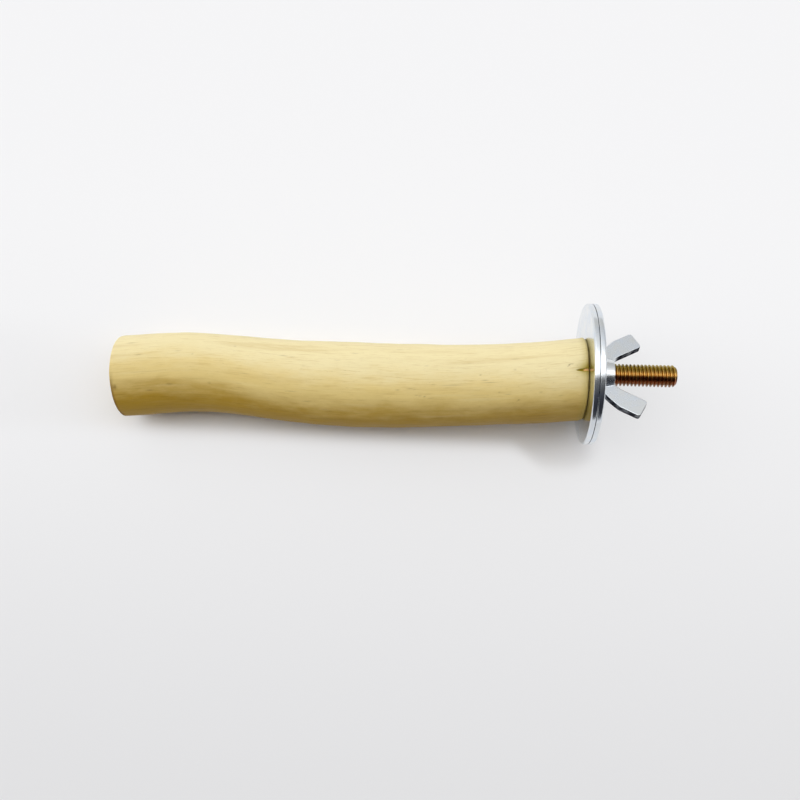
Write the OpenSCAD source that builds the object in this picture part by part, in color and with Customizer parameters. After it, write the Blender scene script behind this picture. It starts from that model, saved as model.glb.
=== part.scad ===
// Bird perch that bolts to a cage: a peeled branch on a hanger bolt, two wide washers and a wing nut.
// X runs along the bolt, out of the branch towards its free end, and Z is up when the perch is in use.
// The origin is on the bolt's line, where the two washers' faces meet and the cage bars are clamped.

/* [Branch] */
// Length of the branch along the bolt's line
branch_len = 127; // [90:0.5:220]
// Thickness of the branch on average
branch_d = 22.4; // [19:0.1:32]
// How far the branch strays to the side of the bolt's line
branch_bend = 4.9; // [0:0.1:7]
// Slant of the far sawn end, in degrees
end_slant = 2.5; // [0:0.5:12]
// Rounding of the far end's rim
far_round = 0.5; // [0.4:0.1:2]
// Extra bevel pared off one side of the far end's rim
far_bevel = 0.3; // [0:0.1:3]
// Rounding of the rim at the washer
near_round = 1.4; // [0.2:0.1:1.6]

/* [Hanger bolt] */
// Thread diameter over the crests
bolt_d = 6; // [5:0.25:8]
// Pitch of the machine thread
thread_pitch = 1; // [0.8:0.05:1.25]
// Length of the bolt outside the branch
bolt_out = 24.5; // [20:0.1:50]
// Length of the machine thread that runs on inside the branch
thread_in = 2; // [1.5:0.5:5]
// Length of the plain shank between the two threads
shank_len = 3; // [1:0.5:6]
// Length of the wood thread, with its point
lag_len = 22; // [15:1:35]
// Pitch of the wood thread
lag_pitch = 2.5; // [1.8:0.1:3]
// Depth of the wood thread
lag_depth = 0.8; // [0.5:0.05:1]
// Length of the point
point_len = 4.5; // [3:0.5:7]
// Chamfer at the free end
bolt_chamfer = 0.7; // [0.3:0.05:0.9]
// Gap around the bolt in the mouth of its drilled hole
mouth_gap = 0.1; // [0.05:0.05:0.3]

/* [Washers] */
// Outer diameter of both washers
washer_d = 38; // [34:0.5:50]
// Thickness of each washer
washer_t = 1.5; // [1:0.1:3]
// Rounding of the washers' rims
washer_round = 0.45; // [0.1:0.05:0.45]
// Gap around the bolt in the washers' holes
washer_gap = 0.2; // [0.1:0.05:0.5]

/* [Wing nut] */
// Height of the hub
hub_h = 4.9; // [4.4:0.1:8]
// Diameter of the hub where it bears on the washer
hub_base_d = 10.4; // [9.8:0.1:12]
// Diameter of the hub at its top
hub_top_d = 8.4; // [8.2:0.1:9.6]
// Height of the nut from its seat to the wings' tips
nut_h = 13.2; // [11:0.1:17]
// Distance over the wings' tips
wing_span = 26.8; // [23:0.1:34]
// Width of each wing at its tip
wing_w = 5.1; // [4:0.1:6]
// Thickness of the wings
wing_t = 2.3; // [1.5:0.1:3]
// Slope of the wings from the bolt's line, in degrees
wing_slope = 29; // [24:1:36]
// Rounding of the wings' corners
wing_round = 0.8; // [0.3:0.1:1.5]
// Radial gap between the nut's bore and the thread's crests
nut_gap = 0.06; // [0.03:0.01:0.1]
// Turn of the wings about the bolt, in degrees
nut_turn = -21; // [-90:1:90]

/* [Hidden] */

// Faces round the turned pieces
turned_sides = 64;
// Sides of the branch's rings, and rings between its two rounded rims
branch_sides = 40;
branch_rings = 36;
rim_rings = 4;
// Steps along a curve and round a corner of an outline
curve_steps = 6;
corner_steps = 4;
// Overrun of a cut past the surface that it goes through
cut_over = 1;

// Where the pieces meet along the bolt
branch_x = -washer_t;
nut_x = washer_t;
bolt_x = branch_x + bolt_out;

// Sideways place of the branch's middle, as shares of branch_bend, at shares of its length
bend_shares = [
    [0, -0.315], [0.13, -0.665], [0.3, -0.92], [0.48, -0.975],
    [0.63, -0.81], [0.78, -0.5], [0.86, -0.49], [1, -0.85]
];
// Rise and fall of the branch's middle, as shares of branch_bend
rise_shares = [[0, 0.06], [0.2, 0.16], [0.45, 0.05], [0.7, -0.14], [0.86, -0.05], [1, 0.12]];
// Thickness as shares of branch_d
girth_shares = [
    [0, 1.008], [0.1, 0.987], [0.21, 0.98], [0.48, 1.037],
    [0.7, 0.982], [0.81, 0.97], [0.93, 0.988], [1, 0.993]
];
// How far the branch is from round, with two, three and five lobes, as shares of its radius
lobe_shares = [0.022, 0.014, 0.006];
lobe_counts = [2, 3, 5];
// Turn of those lobes at the washer, and their twist along the branch, in degrees
lobe_turn = [70, 20, 50];
lobe_twist = [40, -60, 110];
// The sawn end's slant sets in along the branch with this power, so only its last stretch leans
slant_power = 6;
// Side of the far end that carries the bevel, in degrees round the branch, and how narrow the bevel is
bevel_turn = 12;
bevel_power = 8;

// Machine thread: its depth, and the widths of its crest and of its foot, as shares of its pitch
thread_depth_share = 0.6134;
crest_share = 0.125;
foot_width_share = 0.75;
thread_root_r = bolt_d / 2 - thread_depth_share * thread_pitch;
// The rolled thread's shank is as thick as the thread's middle
shank_r = (bolt_d / 2 + thread_root_r) / 2;
// Wood thread: its core fills the drilled hole, and its crests bite into the wood
lag_root_r = bolt_d / 2 - lag_depth;
lag_crest_share = 0.06;
lag_foot_share = 0.4;
// Blunt tip of the point
tip_share = 0.2;
tip_r = tip_share * lag_root_r;
shank_x = branch_x - thread_in;
lag_x = shank_x - shank_len;
tip_x = lag_x - lag_len;
// Ridges of the two threads, which stop short of the chamfer and of the shank
machine_ridges = floor((bolt_x - bolt_chamfer - shank_x) / thread_pitch);
lag_ridges = floor(lag_len / lag_pitch);

// Bore of the nut, and the wings' outline in the nut's own length and radius
nut_bore_r = bolt_d / 2 + nut_gap;
washer_hole_r = bolt_d / 2 + washer_gap;
// Mouth of the branch's drilled hole
mouth_r = bolt_d / 2 + mouth_gap;
wing_along = [cos(wing_slope), sin(wing_slope)];
wing_across = [-sin(wing_slope), cos(wing_slope)];
// Outer and inner corners of a wing's tip
tip_outer = [nut_h - wing_w * sin(wing_slope), wing_span / 2];
tip_inner = tip_outer - wing_w * wing_across;
// The outer edge leaves the straight stretch this far from the tip, as a share of the nut's height
outer_straight_share = 0.42;
outer_bend = tip_outer - outer_straight_share * nut_h * wing_along;
// Foot of the outer edge, where it leaves the hub above its seat, as shares of the hub's height and radius
foot_share = [0.1, 0.82];
foot = [foot_share[0] * hub_h, foot_share[1] * hub_base_d / 2];
// Throat, where the inner edge meets the hub's top rim, as shares of the hub's height and radius
throat_share = [1, 0.86];
throat = [throat_share[0] * hub_h, throat_share[1] * hub_top_d / 2];
// The inner edge turns towards the throat this far outside it, as a share of the wing's width
inner_bend_share = 0.333;
inner_bend_r = throat[1] + inner_bend_share * wing_w;
inner_bend = tip_inner + (inner_bend_r - tip_inner[1]) / wing_along[1] * wing_along;
// How far the outer edge bellies out near the hub, as a share of the wing's width
belly_share = 0.125;
// How far the throat's curve is drawn along the bolt, as a share of its own length
throat_draw_share = 0.2;
// The wings run inwards to this radius, just outside the bore
wing_foot_r = (nut_bore_r + throat[1]) / 2;

// A smooth curve through a table of places and values
function place_in(table, at, i = 0) =
    i >= len(table) - 2 || table[i + 1][0] >= at ? i : place_in(table, at, i + 1);
function slope_at(table, i) =
    let(a = max(0, i - 1), b = min(len(table) - 1, i + 1))
    (table[b][1] - table[a][1]) / (table[b][0] - table[a][0]);
function smooth_value(table, at) =
    let(i = place_in(table, at))
    let(span = table[i + 1][0] - table[i][0])
    let(t = (at - table[i][0]) / span)
    let(rest = 1 - t)
    table[i][1] * rest * rest * (1 + 2 * t)
    + table[i + 1][1] * t * t * (3 - 2 * t)
    + slope_at(table, i) * span * t * rest * rest
    - slope_at(table, i + 1) * span * t * t * rest;

// A curve from a to c that b draws towards itself
function curve(a, b, c, steps) =
    [for (i = [0 : steps]) let(t = i / steps) (1 - t) * (1 - t) * a + 2 * t * (1 - t) * b + t * t * c];
// A rounded corner at p, between the points before and after it
function towards(p, other, size) = p + size * (other - p) / norm(other - p);
function corner(before, p, after, size) =
    curve(towards(p, before, size), p, towards(p, after, size), corner_steps);

// Radius of the branch at a share of its length and an angle round it
function branch_r(at, turn) =
    let(lobes = [
        for (k = [0 : len(lobe_counts) - 1])
            cos(lobe_counts[k] * (turn - lobe_turn[k]) + lobe_twist[k] * at)
    ])
    branch_d / 2 * smooth_value(girth_shares, at) * (1 + lobe_shares * lobes);
function branch_middle(at) = branch_bend * [smooth_value(bend_shares, at), smooth_value(rise_shares, at)];
function far_rim(turn) = far_round + far_bevel * pow(max(0, cos(turn - bevel_turn)), bevel_power);

// A point of the branch: at a share of its length, at an angle, drawn in and moved along X
function branch_point(at, turn, drawn_in, along) =
    let(r = branch_r(at, turn) - drawn_in)
    let(y = r * cos(turn))
    let(slant = tan(end_slant) * pow(at, slant_power))
    let(middle = branch_middle(at))
    [branch_x - at * branch_len - slant * y + along, middle[0] + y, middle[1] + r * sin(turn)];
function branch_ring(at, near, far, phase) = [
    for (j = [0 : branch_sides - 1])
        let(turn = 360 * j / branch_sides)
        let(rim = near ? near_round : far ? far_rim(turn) : 0)
        let(inset = rim * (1 - cos(phase)))
        let(along = rim * (1 - sin(phase)) * (far ? 1 : -1))
        branch_point(at, turn, inset, along)
];

// Core of the wood thread, which narrows along the point
function lag_core_r(x) = lag_root_r - (lag_root_r - tip_r) * max(0, 1 - (x - tip_x) / point_len);
// One ridge of a thread as [place along the bolt, radius], whose foot lies on the core
function thread_ridge(x, pitch, foot_r, crest_r, foot_share, crest_share) = [
    [x - foot_share * pitch / 2, foot_r[0]],
    [x - crest_share * pitch / 2, crest_r],
    [x + crest_share * pitch / 2, crest_r],
    [x + foot_share * pitch / 2, foot_r[1]]
];
function lag_ridge(i) =
    let(x = tip_x + (2 * i + 1) * lag_pitch / 2)
    let(half = lag_foot_share * lag_pitch / 2)
    thread_ridge(x, lag_pitch, [lag_core_r(x - half), lag_core_r(x + half)], lag_core_r(x) + lag_depth,
        lag_foot_share, lag_crest_share);
function machine_ridge(i) =
    let(x = bolt_x - bolt_chamfer - (2 * (machine_ridges - i) - 1) * thread_pitch / 2)
    thread_ridge(x, thread_pitch, [thread_root_r, thread_root_r], bolt_d / 2,
        foot_width_share, crest_share);

module along_x() {
    rotate([0, 90, 0]) children();
}

module branch_body() {
    near_rings = [for (k = [0 : rim_rings]) branch_ring(0, true, false, 90 - 90 * k / rim_rings)];
    first = (near_round + branch_len / branch_rings / 2) / branch_len;
    last = 1 - (far_round + far_bevel + branch_len / branch_rings / 2) / branch_len;
    middle_rings = [
        for (i = [0 : branch_rings]) branch_ring(first + (last - first) * i / branch_rings, false, false, 0)
    ];
    far_rings = [for (k = [0 : rim_rings]) branch_ring(1, false, true, 90 * k / rim_rings)];
    rings = concat(near_rings, middle_rings, far_rings);
    n = branch_sides;
    top = (len(rings) - 1) * n;
    walls = [
        for (i = [0 : len(rings) - 2])
            for (j = [0 : n - 1])
                let(a = i * n + j)
                let(b = i * n + (j + 1) % n)
                for (f = [[a, a + n, b], [b, a + n, b + n]]) f
    ];
    near_cap = [for (j = [0 : n - 1]) j];
    far_cap = [for (j = [n - 1 : -1 : 0]) top + j];
    polyhedron([for (r = rings) for (p = r) p], concat([near_cap], walls, [far_cap]));
}

module branch() {
    color("#e4d19b")
        difference() {
            branch_body();
            // Drilled hole, open around the machine thread and tight on the wood thread's core
            translate([lag_x, 0, 0])
                along_x()
                    cylinder(h = branch_x - lag_x + cut_over, r = mouth_r, $fn = turned_sides);
            translate([tip_x + point_len, 0, 0])
                along_x()
                    cylinder(h = lag_len - point_len + cut_over, r = lag_root_r, $fn = turned_sides);
            translate([tip_x, 0, 0])
                along_x()
                    cylinder(h = point_len, r1 = tip_r, r2 = lag_root_r, $fn = turned_sides);
        }
}

// The threads are drawn as rows of ridges, each a closed ring with the thread's own profile
module hanger_bolt() {
    lag = [for (i = [0 : lag_ridges - 1]) for (p = lag_ridge(i)) p];
    machine = [for (i = [0 : machine_ridges - 1]) for (p = machine_ridge(i)) p];
    outline = concat(
        [[tip_x, 0], [tip_x, tip_r]],
        lag,
        [[lag_x, lag_root_r], [lag_x, shank_r], [shank_x, shank_r], [shank_x, thread_root_r]],
        machine,
        [[bolt_x - bolt_chamfer, thread_root_r], [bolt_x, bolt_d / 2 - bolt_chamfer], [bolt_x, 0]]
    );
    color("#8d6b35")
        along_x()
            rotate_extrude($fn = turned_sides)
                polygon([for (p = outline) [p[1], p[0]]]);
}

module washer(x) {
    outer = washer_d / 2;
    along_x()
        translate([0, 0, x])
            rotate_extrude($fn = turned_sides)
                polygon(concat(
                    [[washer_hole_r, 0]],
                    corner([washer_hole_r, 0], [outer, 0], [outer, washer_t], washer_round),
                    corner([outer, 0], [outer, washer_t], [washer_hole_r, washer_t], washer_round),
                    [[washer_hole_r, washer_t]]
                ));
}

module inner_washer() {
    color("#c3cad3") washer(-washer_t);
}

module outer_washer() {
    color("#ced4db") washer(0);
}

module wing_outline() {
    throat_middle = (inner_bend + throat) / 2 + [throat_draw_share * (throat - inner_bend)[0], 0];
    polygon(concat(
        [[foot[0], wing_foot_r]],
        curve(foot, (foot + outer_bend) / 2 + belly_share * wing_w * wing_across, outer_bend, curve_steps),
        corner(outer_bend, tip_outer, tip_inner, wing_round),
        corner(tip_outer, tip_inner, inner_bend, wing_round),
        curve(inner_bend, throat_middle, throat, curve_steps),
        [[throat[0], wing_foot_r]]
    ));
}

module wing_nut() {
    color("#b9bfc8")
        translate([nut_x, 0, 0])
            rotate([nut_turn, 0, 0])
                difference() {
                    union() {
                        along_x() cylinder(h = hub_h, d1 = hub_base_d, d2 = hub_top_d, $fn = turned_sides);
                        for (side = [0, 1])
                            mirror([0, side, 0])
                                translate([0, 0, -wing_t / 2])
                                    linear_extrude(height = wing_t) wing_outline();
                    }
                    translate([-cut_over, 0, 0])
                        along_x() cylinder(h = hub_h + 2 * cut_over, r = nut_bore_r, $fn = turned_sides);
                }
}

branch();
hanger_bolt();
inner_washer();
outer_washer();
wing_nut();
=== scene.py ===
"""Bird perch: a peeled branch, a yellow zinc hanger bolt, two bright zinc washers and a wing nut."""

import math

import bmesh
import bpy
import numpy as np
from mathutils import Matrix, Vector


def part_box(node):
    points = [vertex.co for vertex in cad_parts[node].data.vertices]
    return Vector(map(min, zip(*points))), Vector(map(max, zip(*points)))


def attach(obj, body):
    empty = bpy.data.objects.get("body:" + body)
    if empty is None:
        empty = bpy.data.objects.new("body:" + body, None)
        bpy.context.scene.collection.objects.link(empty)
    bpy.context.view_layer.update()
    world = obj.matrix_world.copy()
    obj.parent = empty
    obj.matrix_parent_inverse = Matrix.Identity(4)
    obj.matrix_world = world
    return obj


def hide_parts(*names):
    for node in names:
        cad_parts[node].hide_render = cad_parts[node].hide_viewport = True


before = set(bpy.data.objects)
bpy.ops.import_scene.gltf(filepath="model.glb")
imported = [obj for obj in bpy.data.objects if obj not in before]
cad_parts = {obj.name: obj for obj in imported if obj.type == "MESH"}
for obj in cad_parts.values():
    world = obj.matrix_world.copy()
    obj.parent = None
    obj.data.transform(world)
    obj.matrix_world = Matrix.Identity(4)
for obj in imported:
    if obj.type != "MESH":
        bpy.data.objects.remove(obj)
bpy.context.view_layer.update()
MM = 0.001

# Sizes of the branch, in metres and degrees
BRANCH_LEN = 127 * MM
BRANCH_D = 22.4 * MM
BRANCH_BEND = 4.9 * MM
END_SLANT = 2.5
SLANT_POWER = 6
FAR_ROUND = 0.5 * MM
FAR_BEVEL = 0.3 * MM
BEVEL_TURN = 12
BEVEL_POWER = 8
NEAR_ROUND = 1.0 * MM
# The rim at the washer stands this far back from it
SET_BACK = 0.05 * MM
# The branch's middle and thickness, as shares of BRANCH_BEND and BRANCH_D at shares of its length
BEND_SHARES = [
    (0, -0.315), (0.13, -0.665), (0.3, -0.92), (0.48, -0.975),
    (0.63, -0.81), (0.78, -0.5), (0.86, -0.49), (1, -0.85),
]
RISE_SHARES = [(0, 0.06), (0.2, 0.16), (0.45, 0.05), (0.7, -0.14), (0.86, -0.05), (1, 0.12)]
GIRTH_SHARES = [
    (0, 1.008), (0.1, 0.987), (0.21, 0.98), (0.48, 1.037),
    (0.7, 0.982), (0.81, 0.97), (0.93, 0.988), (1, 0.993),
]
LOBE_SHARES = (0.022, 0.014, 0.006)
LOBE_COUNTS = (2, 3, 5)
LOBE_TURN = (70, 20, 50)
LOBE_TWIST = (40, -60, 110)

# Sizes of the hardware
WASHER_T = 1.5 * MM
WASHER_GAP = 0.2 * MM
BOLT_R = 3 * MM
THREAD_PITCH = 1 * MM
THREAD_DEPTH = 0.6134 * THREAD_PITCH
BOLT_OUT = 24.5 * MM
BOLT_CHAMFER = 0.7 * MM
THREAD_IN = 2 * MM
SHANK_LEN = 3 * MM
LAG_LEN = 22 * MM
LAG_PITCH = 2.5 * MM
LAG_DEPTH = 0.8 * MM
POINT_LEN = 4.5 * MM
MOUTH_GAP = 0.1 * MM
TIP_SHARE = 0.2

# Places along the bolt
BRANCH_X = -WASHER_T
BOLT_X = BRANCH_X + BOLT_OUT
SHANK_X = BRANCH_X - THREAD_IN
LAG_X = SHANK_X - SHANK_LEN
TIP_X = LAG_X - LAG_LEN
WASHER_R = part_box("outer_washer")[1].y
HOLE_R = BOLT_R + WASHER_GAP
THREAD_ROOT_R = BOLT_R - THREAD_DEPTH
SHANK_R = (BOLT_R + THREAD_ROOT_R) / 2
LAG_ROOT_R = BOLT_R - LAG_DEPTH
TIP_R = TIP_SHARE * LAG_ROOT_R


# Smooth random fields

def lattice_noise(points, seed):
    """Smooth noise from 0 to 1 at points of any shape (..., 3), one unit to a cell."""
    table = np.random.default_rng(seed).random(4096)
    cell = np.floor(points).astype(np.int64)
    part = points - cell
    part = part * part * (3 - 2 * part)
    value = np.zeros(points.shape[:-1])
    for corner in np.ndindex(2, 2, 2):
        place = cell + np.array(corner)
        key = (place[..., 0] * 73856093) ^ (place[..., 1] * 19349663) ^ (place[..., 2] * 83492791)
        share = np.where(np.array(corner) == 1, part, 1 - part).prod(-1)
        value += table[key & 4095] * share
    return value


def rough(points, cells, seed, octaves=2):
    """Noise with finer layers: cells are the sizes of its cells along X, Y and Z."""
    total, weight, value = 0, 1, 0
    for octave in range(octaves):
        value = value + weight * lattice_noise(points / np.array(cells) * 2**octave, seed + octave)
        total += weight
        weight /= 2
    return value / total


def ease(t):
    t = np.clip(t, 0, 1)
    return t * t * (3 - 2 * t)


# The branch's form

def smooth_value(table, at):
    """A smooth curve through a table of places and values."""
    places = np.array([row[0] for row in table], float)
    values = np.array([row[1] for row in table], float)
    before = np.maximum(np.arange(len(table)) - 1, 0)
    after = np.minimum(np.arange(len(table)) + 1, len(table) - 1)
    slopes = (values[after] - values[before]) / (places[after] - places[before])
    i = np.clip(np.searchsorted(places, at) - 1, 0, len(table) - 2)
    span = places[i + 1] - places[i]
    t = (at - places[i]) / span
    rest = 1 - t
    return (
        values[i] * rest**2 * (1 + 2 * t)
        + values[i + 1] * t**2 * (3 - 2 * t)
        + slopes[i] * span * t * rest**2
        - slopes[i + 1] * span * t**2 * rest
    )


def branch_middle(at):
    return BRANCH_BEND * smooth_value(BEND_SHARES, at), BRANCH_BEND * smooth_value(RISE_SHARES, at)


def branch_r(at, turn):
    """Radius at a share of the length and a turn in radians."""
    lobes = sum(
        share * np.cos(count * (turn - math.radians(start)) + math.radians(twist) * at)
        for share, count, start, twist in zip(LOBE_SHARES, LOBE_COUNTS, LOBE_TURN, LOBE_TWIST)
    )
    return BRANCH_D / 2 * smooth_value(GIRTH_SHARES, at) * (1 + lobes)


def turn_from_above(x, y):
    """The turn round the branch of a place on its upper side, seen from above."""
    at = np.array((BRANCH_X - x) / BRANCH_LEN)
    middle = branch_middle(at)[0]
    turn = math.pi / 2
    for _ in range(4):
        turn = math.acos(max(-1, min(1, (y - middle) / branch_r(at, turn))))
    return turn


# Marks on the wood, in millimetres: places are seen from above, with X and Y in the shared frame
CRACK = {"x": -1.5, "y": -1.4, "length": 3.9, "width": 0.72, "deep": 0.35, "wander": 0.05, "wave": 0.7}
# The crack's width at its tip, and how much wider it gets towards the washer, as shares of its width
CRACK_TIP = 0.3
CRACK_WIDENING = 1.1
# How fast it starts from its tip
CRACK_START = 2.5
STAIN = {"side": -0.3, "width": 1.7, "length": 5.0}
# A hooked fibre beside the crack, as a bent row of dots that is darker up to its knee
HOOK = [(-6.95, -0.75), (-6.75, -0.3), (-6.3, -0.05), (-5.8, -0.1)]
HOOK_KNEE = -6.5
HOOK_DARK, HOOK_FAINT = 0.85, 0.5
HOOK_DOTS = 12
HOOK_DOT = (0.14 * MM, 0.12 * MM)
# Each fleck's X, Y, length, width and darkness
FLECKS = [
    (-50.8, -8.2, 0.9, 0.22, 0.6), (-47.6, -7.8, 1.3, 0.16, 0.5), (-46.5, -8.0, 0.4, 0.2, 0.6),
    (-44.9, -9.5, 0.6, 0.2, 0.6), (-43.8, -9.6, 0.4, 0.25, 0.8), (-42.2, -10.0, 1.6, 0.16, 0.45),
    (-29.5, -3.7, 0.35, 0.28, 0.7), (-26.9, -5.6, 3.6, 0.2, 0.5), (-24.4, -8.0, 0.4, 0.3, 0.45),
    (-22.2, -8.4, 1.4, 0.2, 0.45), (-19.4, -9.6, 0.3, 0.25, 0.9), (-20.6, -2.0, 0.5, 0.45, 0.35),
    (-36.4, -6.6, 5.0, 0.3, 0.3), (-43.4, -1.6, 0.9, 0.3, 0.3), (-13.8, -7.6, 0.8, 0.35, 0.35),
    (-8.6, -8.2, 1.2, 0.25, 0.35), (-62.5, 1.6, 1.6, 0.3, 0.35), (-67.0, -0.6, 1.4, 0.2, 0.3),
    (-79.2, -9.0, 2.6, 0.2, 0.45), (-75.0, -11.4, 2.2, 0.3, 0.4), (-91.8, -4.6, 2.4, 0.2, 0.3),
    (-1.8, -0.5, 0.5, 1.6, 0.8), (-101.6, -7.2, 0.7, 0.5, 0.4), (-112.5, -7.8, 1.6, 0.6, 0.4),
    (-118.0, -9.6, 1.8, 0.5, 0.45), (-95.5, 3.2, 0.5, 0.4, 0.4), (-106.5, 0.4, 0.4, 0.35, 0.35),
    (-127.2, -9.3, 0.9, 1.3, 0.9),
]
# Fine random flecks, with the ranges of their lengths, widths and darkness
RANDOM_FLECKS = 90
RANDOM_MARGIN = 4 * MM
RANDOM_LENGTH = (0.2, 1.3)
RANDOM_WIDTH = (0.07, 0.16)
RANDOM_DARK = (0.15, 0.5)
# Shade painted on the far end's rim, towards -Y: its darkness, its middle and half width in degrees, and its
# reach
FAR_RIM_SHADE = 0.9
FAR_RIM_SHADE_TURN = 150
FAR_RIM_SHADE_WIDTH = 46
FAR_RIM_SHADE_REACH = 0.8 * MM
# Its edge wavers by shares of its reach, in cells of this many radians
FAR_RIM_SHADE_LEAST = 0.55
FAR_RIM_SHADE_WAVER = 0.9
FAR_RIM_SHADE_CELL = 0.25

# Relief of the wood: its cells along and across the grain in millimetres, its depth, and its seed
RELIEF = [((11, 4.5), 0.32, 11), ((5, 0.8), 0.05, 23), ((3.5, 1.8), 0.09, 31)]
FLECK_DEPTH = 0.1
# Saw marks on the far end: their lean, their spacing, how much they waver, and their depth
SAW_LEAN = 0.5
SAW_GAP = 0.75 * MM
SAW_WAVER = 1.4
SAW_DEPTH = 0.035
FUZZ_DEPTH = 0.05

# Fineness of the branch's mesh
SIDES = 360
RING_GAP = 0.42 * MM
RIM_RINGS = 10
CAP_RINGS = 36
# The sides and the rings crowd together at the crack by these shares
CROWDING = 0.5
RING_CROWDING = 0.09
# The near end bears on the washer up to this share of its radius
BEARING_SHARE = 0.4
# How fast the saw marks start from the far end's rim
SAW_START = 12


def fleck_field(along, turn, radius, place, size, strength):
    """A soft elongated spot on the surface, at a place (distance from the washer, turn)."""
    side = (turn - place[1] + math.pi) % (2 * math.pi) - math.pi
    return strength * np.exp(-(((along - place[0]) / size[0]) ** 2) - (side * radius / size[1]) ** 2)


def surface_place(x, y):
    """Distance from the washer and turn of a place seen from above, given in millimetres."""
    return BRANCH_X - x * MM, turn_from_above(x * MM, y * MM)


def fleck_marks(along, turn, radius):
    """Darkness of the placed flecks and of fine random ones."""
    mark = np.zeros(along.shape)
    for x, y, length, width, strength in FLECKS:
        size = (length / 2 * MM, width / 2 * MM)
        mark = np.maximum(mark, fleck_field(along, turn, radius, surface_place(x, y), size, strength))
    chance = np.random.default_rng(7)
    for _ in range(RANDOM_FLECKS):
        place = (chance.uniform(RANDOM_MARGIN, BRANCH_LEN - RANDOM_MARGIN), chance.uniform(0, 2 * math.pi))
        size = (chance.uniform(*RANDOM_LENGTH) * MM, chance.uniform(*RANDOM_WIDTH) * MM)
        mark = np.maximum(mark, fleck_field(along, turn, radius, place, size, chance.uniform(*RANDOM_DARK)))
    return mark


def far_rim_shading(along, turn):
    """Painted shade on the far end's rim, towards -Y."""
    window = np.exp(-((np.abs(turn - math.radians(FAR_RIM_SHADE_TURN)) / math.radians(FAR_RIM_SHADE_WIDTH)) ** 4))
    waver = rough(np.stack([turn, turn, turn], -1), (FAR_RIM_SHADE_CELL,) * 3, 71)
    reach = FAR_RIM_SHADE_REACH * (FAR_RIM_SHADE_LEAST + FAR_RIM_SHADE_WAVER * waver)
    return FAR_RIM_SHADE * window * ease(1.5 - (BRANCH_LEN - along) / reach)


def hook_mark(along, turn, radius):
    """Darkness of the hooked fibre beside the crack."""
    mark = np.zeros(along.shape)
    for (x0, y0), (x1, y1) in zip(HOOK, HOOK[1:]):
        for share in np.linspace(0, 1, HOOK_DOTS):
            x, y = x0 + (x1 - x0) * share, y0 + (y1 - y0) * share
            fade = HOOK_DARK if x < HOOK_KNEE else HOOK_FAINT
            dot = fleck_field(along, turn, radius, surface_place(x, y), HOOK_DOT, fade)
            mark = np.maximum(mark, dot)
    return mark


def crack_marks(along, turn, radius):
    """The stain round the crack, and the crack's own depth from 0 to 1."""
    crack_turn = turn_from_above(CRACK["x"] * MM, CRACK["y"] * MM)
    left = np.clip(1 - along / (CRACK["length"] * MM), 0, 1)
    wander = CRACK["wander"] * MM * np.sin(along / (CRACK["wave"] * MM))
    side = ((turn - crack_turn + math.pi) % (2 * math.pi) - math.pi) * radius - wander
    half_width = CRACK["width"] / 2 * MM * (CRACK_TIP + CRACK_WIDENING * left)
    crack = ease(left * CRACK_START) * np.exp(-((side / half_width) ** 2))
    stain_side = (side - STAIN["side"] * MM) / (STAIN["width"] * MM)
    stain = ease(1 - along / (STAIN["length"] * MM)) * np.exp(-(stain_side**2))
    return stain, crack


def branch_points():
    """The branch's rings of points as an array (ring, side, 3), with what its material reads."""
    crack_turn = turn_from_above(CRACK["x"] * MM, CRACK["y"] * MM)
    even = np.linspace(0, 2 * math.pi, SIDES, endpoint=False)
    turn = even - CROWDING * np.sin(even - crack_turn)
    count = round((BRANCH_LEN - NEAR_ROUND - FAR_ROUND - FAR_BEVEL) / RING_GAP)
    spread = np.linspace(0, 1, count)
    # Rings crowd together at the cracked end
    spread = spread - RING_CROWDING * np.sin(math.pi * spread) * (1 - spread)
    first = (NEAR_ROUND + SET_BACK + RING_GAP / 2) / BRANCH_LEN
    last = 1 - (FAR_ROUND + FAR_BEVEL + RING_GAP / 2) / BRANCH_LEN
    near = [(0.0, math.radians(90 - 90 * k / RIM_RINGS), -1) for k in range(RIM_RINGS + 1)]
    middle = [(first + (last - first) * s, 0.0, 0) for s in spread]
    far = [(1.0, math.radians(90 * k / RIM_RINGS), 1) for k in range(RIM_RINGS + 1)]
    at, phase, end = (np.array(v)[:, None] for v in zip(*(near + middle + far)))
    turn = turn[None, :] + 0 * at
    far_rim = FAR_ROUND + FAR_BEVEL * np.maximum(0, np.cos(turn - math.radians(BEVEL_TURN))) ** BEVEL_POWER
    rim = np.where(end < 0, NEAR_ROUND, np.where(end > 0, far_rim, 0))
    inset = rim * (1 - np.cos(phase))
    shift = rim * (1 - np.sin(phase)) * np.where(end > 0, 1, -1) - np.where(end < 0, SET_BACK, 0)
    radius = branch_r(at, turn)
    along = at * BRANCH_LEN - shift
    straight = np.stack([along, radius * np.cos(turn), radius * np.sin(turn)], -1)
    # The flecks, with the painted shade on the far rim among them
    mark = np.maximum(fleck_marks(along, turn, radius), far_rim_shading(along, turn))
    mark = np.maximum(mark, hook_mark(along, turn, radius))
    stain, crack = crack_marks(along, turn, radius)
    # Broad dents left by the peeling, fibres and ripples, the flecks and the crack are all cut inwards
    relief = FLECK_DEPTH * mark + CRACK["deep"] * crack
    for (length, width), depth, seed in RELIEF:
        relief = relief + depth * (rough(straight, (length * MM, width * MM, width * MM), seed) - 0.5)
    radius = radius - inset - relief * MM
    middle_y, middle_z = branch_middle(at)
    y = radius * np.cos(turn)
    slant = math.tan(math.radians(END_SLANT)) * at**SLANT_POWER
    x = BRANCH_X - along - slant * y
    points = np.stack([x, middle_y + y, middle_z + radius * np.sin(turn)], -1)
    return points, straight, mark, stain, crack


def circle_points(x, r, turn):
    return np.stack([x + 0 * turn, r * np.cos(turn), r * np.sin(turn)], -1)


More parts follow.
